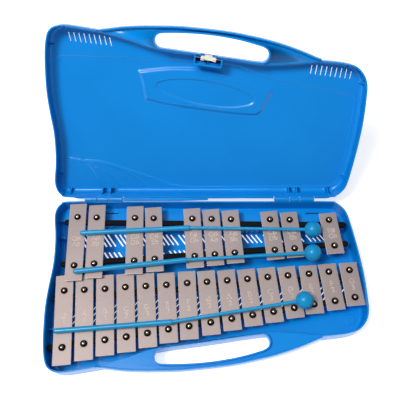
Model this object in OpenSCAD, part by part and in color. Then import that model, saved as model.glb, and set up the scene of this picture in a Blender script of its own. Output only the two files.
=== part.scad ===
// Two-row chromatic glockenspiel in a clamshell carry case.
// Origin: centre of the case's flat underside. +Z up, +Y to the hinge side,
// +X to the short (high) bars. The lid is drawn leaning back on its stop.

/* [Case] */
// Overall depth of the lower half, underside to rim
base_h = 30; // [28:1:34]
// Overall depth of the lid, rim to top
lid_h = 20; // [18:1:24]
// Moulded wall thickness
wall = 2.2; // [1.8:0.1:2.6]
// Gap left between the two rims when the case is shut
rim_gap = 0.4; // [0.3:0.1:0.6]
// Angle from shut to fully open
open_deg = 126; // [90:1:130]
// Thickness of each half of the carry handle
grip_h = 10; // [8:1:12]
// How far the handle webs lie below the rim
web_drop = 4; // [3:0.5:5]

/* [Bars] */
// Length of the lowest bar
bar_l1 = 115; // [112:0.5:116]
// Width of every bar
bar_w = 22.8; // [20:0.1:23.2]
// Thickness of every bar
bar_t = 2; // [1.8:0.1:2.4]
// Spacing of the long row
nat_pitch = 26.1; // [25.8:0.1:26.2]
// Spacing of the short row, per step of the long row
shp_pitch = 26.2; // [26:0.05:26.4]
// Height of the long row's upper faces
nat_top = 23; // [22:0.5:24]
// How much longer the middle bars are than a plain two-octave taper gives
len_bow = 2.7; // [0:0.1:3]
// How far the short row stands above the long row
shp_rise = 5.8; // [5.5:0.1:6]
// Diameter of the hole at each end of a bar
bar_hole = 5; // [4.8:0.1:5.2]

/* [Mallets] */
// Diameter of the ball heads
ball_d = 22; // [20:0.5:22]
// Diameter of the grip half of a mallet's stick
grip_d = 6.8; // [5.6:0.1:6.8]
// Diameter of the thin half of a mallet's stick
stick_d = 4.5; // [4:0.1:4.5]

/* [Hidden] */
$fn = 48;
NAT = ["G1","A1","B1","C2","D2","E2","F2","G2","A2","B2","C3","D3","E3","F3","G3"];
SHP = ["GS1","AS1","CS2","DS2","FS2","GS2","AS2","CS3","DS3","FS3"];

case_blue = [0.05, 0.42, 0.80];
mallet_blue = [0.10, 0.55, 0.80];
steel = [0.70, 0.68, 0.68];
brass = [0.72, 0.66, 0.52];
black = [0.03, 0.03, 0.03];

// semitones above the lowest bar; a bar's length falls as the square root of its pitch
nat_semi = [0, 2, 4, 5, 7, 9, 10, 12, 14, 16, 17, 19, 21, 22, 24];
shp_semi = [1, 3, 6, 8, 11, 13, 15, 18, 20, 23];
// place of each short-row bar, in steps of the long row
shp_slot = [0, 1, 3, 4, 6, 7, 8, 10, 11, 13];
// the bars sit loosely on their pins, so each has its own small turn
nat_turn = [5.5, 6, 5.5, 5.5, 5.5, 5, 4, 5.5, 6, 6.5, 6.5, 7, 4.5, 6, 4.5];
shp_turn = [3.2, 3, 3, 4.5, 4.5, 5, 5.2, 5.5, 5.2, 5.6];
function bar_len(s) = bar_l1 * pow(2, -s / 24);
function bow(t) = 4 * t * (1 - t);
function nat_len(i) = bar_len(nat_semi[i]) + len_bow * bow(i / 14);
function shp_len(i) = bar_len(shp_semi[i]) + len_bow * bow(shp_slot[i] / 13);
function nat_pos(i) = [-175.8 + nat_pitch * i, -48.5 + 3.4 * i - 1.2 * bow(i / 14)];
function shp_pos(i) = [-171.2 + shp_pitch * shp_slot[i], 55.3 + 0.95 * shp_slot[i]];
pin_at = 0.316;   // pins lie this share of the length from the middle
nat_bot = nat_top - bar_t;
shp_top = nat_top + shp_rise;
shp_bot = shp_top - bar_t;
rail_t = 5;
rail_w = 7;
pin_r = 1.1;

// ---- outline of the case, seen from above --------------------------------
// a run of points is joined by smooth curves; equal neighbours are not used
case_pts = [
  [-120, 115], [-188, 115], [-198.9, 110.8], [-204.2, 101], [-204.5, 88],
  [-200.5, 66], [-198, 44], [-197, 20], [-198.5, -6],
  [-199.2, -32], [-197.6, -58], [-194.5, -84.2], [-190, -102.6],
  [-184.4, -111], [-176, -114.9], [-165.5, -115.4], [-146, -112.4], [-130, -109.6],
  [-118, -106.8], [-88, -97.8], [-57, -87.5], [9, -77.4], [74, -67.5], [110, -67.6], [142, -69.8],
  [162, -68.4], [178, -65.9], [190.8, -61.2], [200.4, -50.6], [204.8, -38],
  [205.6, -20], [205, 8], [203, 32], [200, 56],
  [197, 76], [193.2, 96], [188.2, 105.8], [180.6, 112.6], [170.5, 115], [100, 115], [0, 115]];
// outer edge of the handle, left to right
grip_pts = [[-138, -112.6], [-126, -109.6], [-112, -110.4], [-97, -112], [-74, -112.7], [-51, -112.4], [-28, -111.7],
  [-6, -109.6], [17, -107], [39.5, -103.7], [62, -99], [85, -93.4], [106, -86.9], [126, -79.4], [139, -73.9], [149, -70.8], [158, -69]];

function cr(a, b, c, d, t) = 0.5 * ((2 * b) + (c - a) * t + (2 * a - 5 * b + 4 * c - d) * t * t + (3 * b - a - 3 * c + d) * t * t * t);
function loop_curve(p, n) = [for (i = [0 : len(p) - 1]) for (k = [0 : n - 1])
  cr(p[(i + len(p) - 1) % len(p)], p[i], p[(i + 1) % len(p)], p[(i + 2) % len(p)], k / n)];
function open_curve(p, n) = [for (i = [1 : len(p) - 3]) for (k = [0 : n - 1])
  cr(p[i - 1], p[i], p[i + 1], p[i + 2], k / n)];
function unit(v) = v / norm(v);
// move each point of an anticlockwise loop inwards by d
function inset(p, d) = [for (i = [0 : len(p) - 1])
  let (a = unit(p[i] - p[(i + len(p) - 1) % len(p)]), b = unit(p[(i + 1) % len(p)] - p[i]), m = unit([-a[1] - b[1], a[0] + b[0]]))
  p[i] + m * d / (m * [-b[1], b[0]])];

outer = loop_curve(case_pts, 3);
inner = inset(outer, wall);
grip_edge = open_curve(grip_pts, 2);
grip_in = [for (i = [1 : len(grip_edge) - 2])
  let (t = unit(grip_edge[i + 1] - grip_edge[i - 1])) grip_edge[i] + wall * [-t[1], t[0]]];

module outline() polygon(outer);
module cavity() polygon(inner);

// the handle's plan, reaching back into the body's front wall
back_pts = [[146, -68.2], [110, -66.4], [74, -66.3], [9, -76.2], [-57, -86.3], [-88, -96.6], [-120, -107]];
module grip_plan() polygon(concat(grip_edge, back_pts));
module grip_pocket() polygon(concat(grip_in, [[141, -70.6], [110, -66.4], [74, -66.3], [9, -76.2], [-57, -86.3], [-88, -96.6], [-118, -105.4]]));

// finger hole: a long slot with round ends, straight behind and bowed in front
hole_back = [[-49, -86.2], [9, -77.4], [72, -67.8]];
hole_front = [[74, -86.6], [52, -93.2], [30, -98], [8, -101.4], [-14, -103.4], [-34, -104.2], [-47, -104.2]];
module hole_plan() {
  polygon(concat(hole_back, hole_front));
  translate([-49, -95.2]) circle(9);
  translate([71.6, -77.1]) circle(9.3);
}
module collar_plan() {
  polygon([[-50, -84.2], [9, -75.1], [72, -65.5], [78, -86], [75, -88.6], [53, -95.2], [30.5, -100], [8.3, -103.4], [-13.8, -105.4], [-34, -106.2], [-47, -106.2]]);
  translate([-49, -95.2]) circle(11);
  translate([71.6, -77.1]) circle(11.3);
}

// one half of the case, open at the top; h is its depth
module half(h) {
  difference() {
    union() {
      difference() {
        linear_extrude(h) outline();
        translate([0, 0, wall]) linear_extrude(h) cavity();
      }
      difference() {
        translate([0, 0, h - grip_h]) linear_extrude(grip_h) grip_plan();
        difference() {
          union() {
            // hollow of the web above and below its floor
            translate([0, 0, h - web_drop]) linear_extrude(web_drop + 1) grip_pocket();
            translate([0, 0, h - grip_h - 1]) linear_extrude(grip_h + 1 - web_drop - wall) grip_pocket();
          }
          translate([0, 0, -1]) linear_extrude(h + 2) collar_plan();
        }
      }
    }
    translate([0, 0, -1]) linear_extrude(h + 2) hole_plan();
    // beside the hole the front wall stops level with the webs
    difference() {
      translate([-121, -112, h - web_drop]) cube([263, 48, web_drop + 1]);
      translate([0, 0, -1]) linear_extrude(h + 2) collar_plan();
      translate([0, 0, -1]) linear_extrude(h + 2) keep_plan();
    }
  }
}
// everything in front of the collar that keeps its full height: the handle's outer lip
module keep_plan() {
  difference() {
    polygon(concat(grip_edge, [[160, -60], [160, -125], [-140, -125], [-140, -105]]));
    grip_pocket();
    polygon([[-121, -107.4], [-60, -90], [76, -68], [140, -71], [140, -60], [-121, -60]]);
  }
  polygon(concat(grip_edge, [for (i = [len(grip_in) - 1 : -1 : 0]) grip_in[i]]));
}

// ---- hinges ---------------------------------------------------------------
hy = 117.5;
hz = base_h + rim_gap / 2;
hinge_r = 4;
hinge_gap = 0.4;
hinge_side = 0.9;   // sideways play between the knuckles
// left and right end of each hinge's outer knuckles and its tongue
hinges = [[-165.5, -149, -132.5, -113], [96, 116.5, 131, 150]];
module bar_x(x0, x1, r, y = hy, z = hz) translate([x0, y, z]) rotate([0, 90, 0]) cylinder(h = x1 - x0, r = r);

// ---- latch, in its own frame: x along the wall behind the finger hole ------
latch_turn = 8.6;
module at_latch() translate([7.5, -76.7, 0]) rotate([0, 0, latch_turn]) children();

// ---- fixings ----------------------------------------------------------------
// both pin positions of bar i: side is 1 at the rear, -1 at the front
function nat_pin(i, side) = let (a = nat_turn[i], l = nat_len(i) * pin_at * side) nat_pos(i) + l * [-sin(a), cos(a)];
function shp_pin(i, side) = let (a = shp_turn[i], l = shp_len(i) * pin_at * side) shp_pos(i) + l * [-sin(a), cos(a)];
module at_nat_pins() for (i = [0 : 14]) for (s = [-1, 1]) translate(nat_pin(i, s)) children();
module at_shp_pins() for (i = [0 : 9]) for (s = [-1, 1]) translate(shp_pin(i, s)) children();

// ---- rails: [left end, right end] on the bars' quiet lines ------------------
rail_a = [[-187.5, 84.5], [187, 81]];
rail_b = [[-185.5, 23.2], [187, 53.6]];
rail_c = [[-191, -21.5], [194, 11.2]];
rail_d = [[-188.5, -84], [199, -17.6]];
module strip(p, w, z0, z1) {
  d = p[1] - p[0];
  translate([p[0][0], p[0][1], z0]) rotate([0, 0, atan2(d[1], d[0])]) {
    translate([0, -w / 2, 0]) cube([norm(d), w, z1 - z0]);
    cylinder(h = z1 - z0, d = w);
    translate([norm(d), 0, 0]) cylinder(h = z1 - z0, d = w);
  }
}

// ---- slots in the floor -------------------------------------------------------
// a slanting slot from (x, y0) up to y1
module slit(x, y0, y1, lean, w = 2.1) translate([x, y0, -1]) rotate([0, 0, lean]) translate([-w / 2, 0, 0]) cube([w, (y1 - y0) / cos(lean), wall + 2]);
function on_line(p, x) = p[0][1] + (x - p[0][0]) * (p[1][1] - p[0][1]) / (p[1][0] - p[0][0]);
module floor_slits() {
  for (k = [-4 : 7]) for (i = [0 : 3]) {
    x = -54.4 + 28.78 * k + 6.23 * i;
    slit(x, 60.7 + 0.0313 * (x + 54.4), 77, 36);
    if (k < 6 && (k > -4 || i > 1)) slit(x + 16, on_line(rail_b, x) + 5.6, 53.1 + 0.035 * (x + 54.4), 36);
  }
  for (k = [-2 : 38]) {
    x = -151 + 8.7 * k;
    h = min(14.5, (on_line(rail_c, x) - on_line(rail_d, x)) / 2 - 5.2);
    y = on_line(rail_c, x) - 5.5 - h;
    slit(x - 0.9 * h, y - h, y + h, -42);
  }
}
shelf_z = 12;
shelf_y = 92;

module base_shell() color(case_blue) {
  difference() {
    union() {
      half(base_h);
      intersection() {
        linear_extrude(base_h) cavity();
        union() {
          // raised shelf along the hinge side
          translate([-210, shelf_y, wall / 2]) cube([420, 30, shelf_z - wall / 2]);
          strip(rail_a, rail_w, wall / 2, shp_bot - rail_t);
          strip(rail_b, rail_w, wall / 2, shp_bot - rail_t);
          strip(rail_c, rail_w, wall / 2, nat_bot - rail_t);
          strip(rail_d, rail_w, wall / 2, nat_bot - rail_t);
        }
      }
      // posts for the bars' pins
      translate([0, 0, wall / 2]) at_nat_pins() cylinder(h = nat_bot - 3 - wall / 2, r = 3.2);
      translate([0, 0, wall / 2]) at_shp_pins() cylinder(h = shp_bot - 3 - wall / 2, r = 3.2);
      // hinge knuckles
      for (h = hinges) for (k = [[h[0], h[1]], [h[2], h[3]]]) {
        bar_x(k[0], k[1], hinge_r);
        translate([k[0], 113.2, 20]) cube([k[1] - k[0], 4.3, 9]);
      }
      // two lips that the latch catches under
      at_latch() for (x = [-2.5, 12.5]) translate([x - 2.2, 0.6, base_h - 3.2]) cube([4.4, 1.7, 1.6]);
    }
    // the shelf is hollow below
    intersection() {
      translate([0, 0, -1]) linear_extrude(40) polygon(inset(inner, 0.2));
      translate([-230, shelf_y + wall, -1]) cube([460, 40, shelf_z - wall + 1]);
    }
    floor_slits();
    // slots in the shelf
    for (x = [-138, 141]) translate([x, 104.4, shelf_z - 4]) cube([17, 1.4, 6]);
    translate([0, 0, 5]) at_nat_pins() cylinder(h = 30, r = pin_r + 0.05);
    translate([0, 0, 5]) at_shp_pins() cylinder(h = 30, r = pin_r + 0.05);
    for (h = hinges) {
      bar_x(h[1], h[2], hinge_r + hinge_gap);
      translate([h[1], hy - hinge_r - hinge_gap, hz]) cube([h[2] - h[1], 12, 12]);
      bar_x(h[0] + 1.5, h[3] - 1.5, 1.55);
    }
  }
}

module lid_shut() {
  difference() {
    union() {
      translate([0, 0, base_h + rim_gap + lid_h]) mirror([0, 0, 1]) half(lid_h);
      // walls of the latch pocket
      at_latch() difference() {
        translate([-17.7, -1, base_h + rim_gap]) cube([35.4, 14, lid_h - wall / 2]);
        translate([-15.9, 1, base_h]) cube([31.8, 10.2, lid_h + rim_gap - wall]);
      }
      // raised badge panel
      translate([0, 0, base_h + rim_gap + lid_h - wall - 1.5]) linear_extrude(2.5) polygon([
        [-80, -55], [-62, -58.4], [-40, -60], [-12, -60], [10, -57], [33, -51], [61, -41], [85, -28.4], [89, -27], [82, -12], [74, 2], [66, 5], [34, 2.4], [-2, -2], [-37, -8.6], [-75, -16.4]]);
      // flange along the hinge side
      translate([0, 0, base_h + rim_gap]) linear_extrude(2.2) polygon([[-186, 113.4], [177, 113.4], [168, 116.6], [-177, 116.6]]);
      // bead on the flange that closes the slit beside the left hinge
      bar_x(-112, -40, 2);
      translate([-40, hy, hz]) rotate([0, 90, 0]) cylinder(h = 45, r1 = 2, r2 = 1.3);
      for (h = hinges) {
        bar_x(h[1] + hinge_side, h[2] - hinge_side, hinge_r);
        translate([h[1] + hinge_side, 113.2, base_h + 2]) cube([h[2] - h[1] - 2 * hinge_side, 4.3, 8]);
      }
    }
    for (h = hinges) {
      for (k = [[h[0], h[1]], [h[2], h[3]]]) bar_x(k[0] - hinge_side, k[1] + hinge_side, hinge_r + hinge_gap);
      bar_x(h[1] - 1, h[2] + 1, 1.55);
    }
    // finger notch behind the hole, and the rod's seats
    at_latch() {
      translate([-10.2, -4, base_h + rim_gap - 1]) cube([20.4, 5.35, 14]);
      // room for the slider over its whole travel
      translate([-9.9, 1.1, base_h + rim_gap - 1]) cube([24.9, 5.2, 17.6]);
      translate([-17, 3.7, base_h + rim_gap + 6]) rotate([0, 90, 0]) cylinder(h = 34, r = 1.05);
    }
    // vents
    for (i = [0 : 8]) {
      translate([-165.8 + 6.3 * i, -98.8 + 0.76 * i, 40]) rotate([0, 0, -8.5]) translate([-0.9, -5.7, 0]) cube([1.8, 11.4, 20]);
      translate([136.5 + 6.25 * i, -55.9 + 0.89 * i, 40]) rotate([0, 0, 7.5]) translate([-0.9, -6, 0]) cube([1.8, 12, 20]);
    }
  }
}

// swing a shut-lid shape back to where the lid rests open
module opened() translate([0, hy, hz]) rotate([-open_deg, 0, 0]) translate([0, -hy, -hz]) children();

module lid_shell() color(case_blue) opened() lid_shut();

module latch_slider() color([0.93, 0.91, 0.85]) opened() at_latch() difference() {
  union() {
    translate([-9.5, 1.5, base_h + rim_gap + 1]) cube([19, 4.4, 15]);
    translate([-4.8, 0.6, base_h + rim_gap + 3]) cube([9.6, 2, 9]);
    for (x = [-7.5, 7.5]) translate([x - 2, 2.7, base_h - 4.9]) {
      cube([4, 2.6, 7]);
      translate([0, -0.9, 0]) cube([4, 3, 1.3]);
    }
  }
  translate([-12, 3.7, base_h + rim_gap + 6]) rotate([0, 90, 0]) cylinder(h = 24, r = 1.05);
}
module latch_rod() color(steel) opened() at_latch() translate([-16.9, 3.7, base_h + rim_gap + 6]) rotate([0, 90, 0]) cylinder(h = 33.8, r = 1);

module hinge_pin(i) color(steel) bar_x(hinges[i][0] + 1.6, hinges[i][3] - 1.6, 1.5);

module rail(p, top) color(black) strip(p, rail_w, top - rail_t, top);
// a rail strip is notched round any pin post or pin that it meets
module rail_cut(p, top) difference() {
  rail(p, top);
  color(black) translate([0, 0, -1]) { at_nat_pins() cylinder(h = 40, r = 3.4); at_shp_pins() cylinder(h = 40, r = 3.4); }
}

module bar(l, top) color(steel) translate([0, 0, top - bar_t]) difference() {
  translate([-bar_w / 2, -l / 2, 0]) cube([bar_w, l, bar_t]);
  for (s = [-1, 1]) translate([0, s * l * pin_at, -1]) cylinder(h = bar_t + 2, d = bar_hole);
}
module nat_bar(i) translate(nat_pos(i)) rotate([0, 0, nat_turn[i]]) bar(nat_len(i), nat_top);
module shp_bar(i) translate(shp_pos(i)) rotate([0, 0, shp_turn[i]]) bar(shp_len(i), shp_top);

// nail with a domed head that sits on the grommet; top is the bar's upper face
grommet_h = 2.2;
module nail(top) {
  translate([0, 0, 5.2]) cylinder(h = top + grommet_h + 0.1 - 5.2, r = pin_r);
  translate([0, 0, top + grommet_h]) intersection() {
    cylinder(h = 3, r = 2.4);
    translate([0, 0, -1.3]) sphere(r = 3);
  }
}
module grommet(top) difference() {
  union() {
    cylinder_at(top, grommet_h, 4.3);
    cylinder_at(top - bar_t, bar_t + 0.1, 2.3);
  }
  translate([0, 0, top - 10]) cylinder(h = 20, r = pin_r + 0.05);
}
module cylinder_at(z, h, r) translate([0, 0, z]) cylinder(h = h, r = r);

// ---- mallets: [free end of the grip, step, ball centre] ----------------------
mallet_rear = [[-162.3, 64.9, 33.2], [-19.6, 72.6, 33.6], [144.1, 69.7, 34.7]];
mallet_middle = [[-164.7, 10.4, 33.8], [-22, 26, 35.2], [141.3, 36.7, 34.7]];
mallet_front = [[-181.2, -65.4, 27.6], [-38.2, -54.1, 31], [125.8, -26.7, 34.3]];
module rod(a, b, r) {
  d = b - a;
  translate(a) rotate([0, acos(d[2] / norm(d)), atan2(d[1], d[0])]) cylinder(h = norm(d), r = r);
}
// the grip's ends are domed, and the thin half starts inside its end
module stick(m) color(mallet_blue) {
  d = (m[2] - m[1]) / norm(m[2] - m[1]);
  g = (m[1] - m[0]) / norm(m[1] - m[0]);
  r = grip_d / 2;
  intersection() {
    rod(m[0] - g * 5, m[1] + g * 5, r);
    union() {
      rod(m[0], m[1], r * 2);
      translate(m[0]) sphere(r = r + 0.4);
      translate(m[1]) sphere(r = r + 0.4);
    }
  }
  rod(m[1], m[2] - d * 3, stick_d / 2);
}
module head(m) color(mallet_blue) {
  d = (m[2] - m[1]) / norm(m[2] - m[1]);
  difference() {
    translate(m[2]) sphere(r = ball_d / 2, $fn = 64);
    rod(m[2] - d * 20, m[2] - d * 3, stick_d / 2);
  }
}

base_shell();
rail_cut(rail_a, shp_bot);  // rail_sharp_rear
rail_cut(rail_b, shp_bot);  // rail_sharp_front
rail_cut(rail_c, nat_bot);  // rail_natural_rear
rail_cut(rail_d, nat_bot);  // rail_natural_front
for (i = [0 : 14]) nat_bar(i);
for (i = [0 : 9]) shp_bar(i);
color(brass) at_nat_pins() nail(nat_top);  // natural_pins
color(brass) at_shp_pins() nail(shp_top);  // sharp_pins
color(black) at_nat_pins() grommet(nat_top);  // natural_grommets
color(black) at_shp_pins() grommet(shp_top);  // sharp_grommets
hinge_pin(0);  // hinge_pin_left
hinge_pin(1);  // hinge_pin_right
lid_shell();
latch_slider();
latch_rod();
stick(mallet_rear);  // mallet_rear_stick
head(mallet_rear);  // mallet_rear_head
stick(mallet_middle);  // mallet_middle_stick
head(mallet_middle);  // mallet_middle_head
stick(mallet_front);  // mallet_front_stick
head(mallet_front);  // mallet_front_head
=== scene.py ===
import math
import random

import bmesh
import bpy
import numpy as np
from mathutils import Matrix, Vector, geometry


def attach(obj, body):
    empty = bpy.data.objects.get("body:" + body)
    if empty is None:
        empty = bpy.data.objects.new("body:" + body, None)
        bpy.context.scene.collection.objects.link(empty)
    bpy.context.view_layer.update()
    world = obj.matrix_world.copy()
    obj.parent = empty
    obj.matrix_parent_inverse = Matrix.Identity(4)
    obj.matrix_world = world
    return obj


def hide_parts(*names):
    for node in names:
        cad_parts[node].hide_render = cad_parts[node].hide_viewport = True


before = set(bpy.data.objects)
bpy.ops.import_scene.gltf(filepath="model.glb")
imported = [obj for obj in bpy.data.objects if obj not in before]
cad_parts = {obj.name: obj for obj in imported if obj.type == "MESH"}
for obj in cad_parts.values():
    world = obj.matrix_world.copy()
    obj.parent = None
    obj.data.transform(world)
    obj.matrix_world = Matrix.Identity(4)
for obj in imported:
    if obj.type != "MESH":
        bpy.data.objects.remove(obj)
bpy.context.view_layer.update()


MM = 0.001

# ---------------------------------------------------------------- sizes (mm)
BASE_H, LID_H, WALL, GAP, GRIP_H, WEB = 30.0, 20.0, 2.2, 0.4, 10.0, 4.0
OPEN = math.radians(126)
HY, HZ = 117.5, 30.2
TOP = BASE_H + GAP + LID_H
BAR_W, BAR_T, NAT_TOP = 22.8, 2.0, 23.0
SHP_TOP = NAT_TOP + 5.8
PIN_AT = 0.316
NAT = ["G1", "A1", "B1", "C2", "D2", "E2", "F2", "G2", "A2", "B2", "C3", "D3", "E3", "F3", "G3"]
SHP = ["GS1", "AS1", "CS2", "DS2", "FS2", "GS2", "AS2", "CS3", "DS3", "FS3"]
NAT_SEMI = [0, 2, 4, 5, 7, 9, 10, 12, 14, 16, 17, 19, 21, 22, 24]
SHP_SEMI = [1, 3, 6, 8, 11, 13, 15, 18, 20, 23]
SHP_SLOT = [0, 1, 3, 4, 6, 7, 8, 10, 11, 13]
NAT_TURN = [5.5, 6, 5.5, 5.5, 5.5, 5, 4, 5.5, 6, 6.5, 6.5, 7, 4.5, 6, 4.5]
SHP_TURN = [3.2, 3, 3, 4.5, 4.5, 5, 5.2, 5.5, 5.2, 5.6]
LEN_BOW = 2.7
HINGES = [[-165.5, -149, -132.5, -113], [96, 116.5, 131, 150]]
RAILS = {"rail_sharp_rear": [(-187.5, 84.5), (187, 81), SHP_TOP - BAR_T],
         "rail_sharp_front": [(-185.5, 23.2), (187, 53.6), SHP_TOP - BAR_T],
         "rail_natural_rear": [(-191, -21.5), (194, 11.2), NAT_TOP - BAR_T],
         "rail_natural_front": [(-188.5, -84), (199, -17.6), NAT_TOP - BAR_T]}
MALLETS = {"rear": [(-162.3, 64.9, 33.2), (-19.6, 72.6, 33.6), (144.1, 69.7, 34.7)],
           "middle": [(-164.7, 10.4, 33.8), (-22, 26, 35.2), (141.3, 36.7, 34.7)],
           "front": [(-181.2, -65.4, 27.6), (-38.2, -54.1, 31), (125.8, -26.7, 34.3)]}

CASE = [(-120, 115), (-188, 115), (-198.9, 110.8), (-204.2, 101), (-204.5, 88), (-200.5, 66), (-198, 44), (-197, 20), (-198.5, -6),
        (-199.2, -32), (-197.6, -58), (-194.5, -84.2), (-190, -102.6), (-184.4, -111), (-176, -114.9), (-165.5, -115.4), (-146, -112.4),
        (-130, -109.6), (-118, -106.8), (-88, -97.8), (-57, -87.5), (9, -77.4), (74, -67.5), (110, -67.6), (142, -69.8),
        (162, -68.4), (178, -65.9), (190.8, -61.2), (200.4, -50.6), (204.8, -38), (205.6, -20), (205, 8), (203, 32), (200, 56),
        (197, 76), (193.2, 96), (188.2, 105.8), (180.6, 112.6), (170.5, 115), (100, 115), (0, 115)]
GRIP = [(-138, -112.6), (-126, -109.6), (-112, -110.4), (-97, -112), (-74, -112.7), (-51, -112.4), (-28, -111.7), (-6, -109.6),
        (17, -107), (39.5, -103.7), (62, -99), (85, -93.4), (106, -86.9), (126, -79.4), (139, -73.9), (149, -70.8), (158, -69)]
HOLE_BACK = [(-49, -86.2), (9, -77.4), (72, -67.8)]
HOLE_FRONT = [(74, -86.6), (52, -93.2), (30, -98), (8, -101.4), (-14, -103.4), (-34, -104.2), (-47, -104.2)]


def cr(a, b, c, d, t):
    return 0.5 * ((2 * b) + (c - a) * t + (2 * a - 5 * b + 4 * c - d) * t * t + (3 * b - a - 3 * c + d) * t ** 3)


def loop_curve(p, n):
    p = np.array(p, float)
    m = len(p)
    return np.array([cr(p[i - 1], p[i], p[(i + 1) % m], p[(i + 2) % m], k / n) for i in range(m) for k in range(n)])


def open_curve(p, n):
    p = np.array(p, float)
    return np.array([cr(p[i - 1], p[i], p[i + 1], p[i + 2], k / n) for i in range(1, len(p) - 2) for k in range(n)])


def through(p, n):
    """smooth open curve through every point, ends included"""
    p = [np.array(q, float) for q in p]
    p = [2 * p[0] - p[1]] + p + [2 * p[-1] - p[-2]]
    out = [cr(p[i - 1], p[i], p[i + 1], p[i + 2], k / n) for i in range(1, len(p) - 2) for k in range(n)]
    return np.array(out + [p[-2]])


def normals(p, closed=True):
    """unit vectors to the left of the way the points run"""
    p = np.array(p, float)
    if closed:
        t = np.roll(p, -1, 0) - np.roll(p, 1, 0)
    else:
        t = np.gradient(p, axis=0)
    t /= np.linalg.norm(t, axis=1)[:, None]
    return np.stack([-t[:, 1], t[:, 0]], 1)


def area(p):
    x, y = np.array(p)[:, 0], np.array(p)[:, 1]
    return 0.5 * float(np.sum(x * np.roll(y, -1) - y * np.roll(x, -1)))


def inside(pts, poly):
    x, y = pts[:, 0], pts[:, 1]
    r = np.zeros(len(pts), bool)
    q = np.roll(poly, -1, 0)
    for (x1, y1), (x2, y2) in zip(poly, q):
        if y1 == y2:
            continue
        c = ((y1 > y) != (y2 > y)) & (x < (x2 - x1) * (y - y1) / (y2 - y1) + x1)
        r ^= c
    return r


def dist(pts, line, closed=True):
    """distance of each point to a chain of segments"""
    line = np.array(line, float)
    q = np.roll(line, -1, 0) if closed else line[1:]
    p = line if closed else line[:-1]
    best = np.full(len(pts), 1e9)
    for a, b in zip(p, q):
        ab = b - a
        t = np.clip(((pts - a) @ ab) / max(ab @ ab, 1e-12), 0, 1)
        best = np.minimum(best, np.linalg.norm(pts - (a + t[:, None] * ab), axis=1))
    return best


def step(lo, hi, x):
    t = np.clip((x - lo) / (hi - lo), 0, 1)
    return t * t * (3 - 2 * t)


def opened(v):
    y, z = v[1] - HY, v[2] - HZ
    c, s = math.cos(-OPEN), math.sin(-OPEN)
    return (v[0], HY + c * y - s * z, HZ + s * y + c * z)


def same(v):
    return (v[0], v[1], v[2])


# ---------------------------------------------------------------- mesh building
class Build:
    """collects closed parts (mm) and makes one object of them"""

    def __init__(self, place=same):
        self.v, self.f, self.place = [], [], place

    def add(self, verts, faces):
        n = len(self.v)
        self.v += [self.place(p) for p in verts]
        self.f += [tuple(i + n for i in q) for q in faces]

    def make(self, name, mat, angle=38, weld=0.002):
        me = bpy.data.meshes.new(name)
        me.from_pydata([(a * MM, b * MM, c * MM) for a, b, c in self.v], [], self.f)
        bm = bmesh.new()
        bm.from_mesh(me)
        bmesh.ops.remove_doubles(bm, verts=bm.verts, dist=weld * MM)
        bmesh.ops.dissolve_degenerate(bm, dist=1e-7, edges=bm.edges)
        bmesh.ops.recalc_face_normals(bm, faces=bm.faces)
        bm.to_mesh(me)
        bm.free()
        for p in me.polygons:
            p.use_smooth = True
        me.set_sharp_from_angle(angle=math.radians(angle))
        o = bpy.data.objects.new(name, me)
        bpy.context.scene.collection.objects.link(o)
        me.materials.append(mat)
        w = o.modifiers.new("weighted", "WEIGHTED_NORMAL")
        w.keep_sharp = True
        w.weight = 100
        return o


def plate(loops, z0, z1, bevel=0.5, res=2):
    """verts, faces of a flat plate with rounded edges; the first loop is the outside, the others are holes"""
    cu = bpy.data.curves.new("tmp", "CURVE")
    cu.dimensions = "2D"
    cu.fill_mode = "BOTH"
    for lp in loops:
        sp = cu.splines.new("POLY")
        sp.points.add(len(lp) - 1)
        for q, p in zip(sp.points, lp):
            q.co = (p[0], p[1], 0, 1)
        sp.use_cyclic_u = True
    cu.extrude = (z1 - z0) / 2 - bevel
    cu.bevel_depth = bevel
    cu.bevel_resolution = res
    cu.offset = -bevel
    o = bpy.data.objects.new("tmp", cu)
    bpy.context.scene.collection.objects.link(o)
    dg = bpy.context.evaluated_depsgraph_get()
    me = bpy.data.meshes.new_from_object(o.evaluated_get(dg))
    zc = (z0 + z1) / 2
    v = [(p.co.x, p.co.y, p.co.z + zc) for p in me.vertices]
    f = [tuple(p.vertices) for p in me.polygons]
    bpy.data.objects.remove(o)
    bpy.data.curves.remove(cu)
    bpy.data.meshes.remove(me)
    return v, f


def loft(rings, cap0=False, cap1=False):
    n = len(rings[0])
    v = [tuple(p) for r in rings for p in r]
    f = []
    for k in range(len(rings) - 1):
        for i in range(n):
            j = (i + 1) % n
            f.append((k * n + i, k * n + j, (k + 1) * n + j, (k + 1) * n + i))
    if cap0:
        f.append(tuple(range(n)))
    if cap1:
        f.append(tuple(range((len(rings) - 1) * n, len(rings) * n)))
    return v, f


def lathe(profile, at, axis=(0, 0, 1), seg=40):
    """round solid: profile is a list of (radius, height) from one end of the axis to the other"""
    a = Vector(axis).normalized()
    rot = Vector((0, 0, 1)).rotation_difference(a).to_matrix()
    v, f, rows = [], [], []
    for r, h in profile:
        if r < 1e-6:
            rows.append([len(v)])
            v.append(tuple(rot @ Vector((0, 0, h)) + Vector(at)))
        else:
            rows.append(list(range(len(v), len(v) + seg)))
            v += [tuple(rot @ Vector((r * math.cos(2 * math.pi * i / seg), r * math.sin(2 * math.pi * i / seg), h)) + Vector(at)) for i in range(seg)]
    for p, q in zip(rows, rows[1:]):
        for i in range(seg):
            j = (i + 1) % seg
            if len(p) == 1:
                f.append((p[0], q[i], q[j]))
            elif len(q) == 1:
                f.append((p[i], p[j], q[0]))
            else:
                f.append((p[i], p[j], q[j], q[i]))
    return v, f


def rod_profile(r, h, b=0.4):
    return [(0, 0), (r - b, 0), (r - 0.3 * b, 0.3 * b), (r, b), (r, h - b), (r - 0.3 * b, h - 0.3 * b), (r - b, h), (0, h)]


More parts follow.
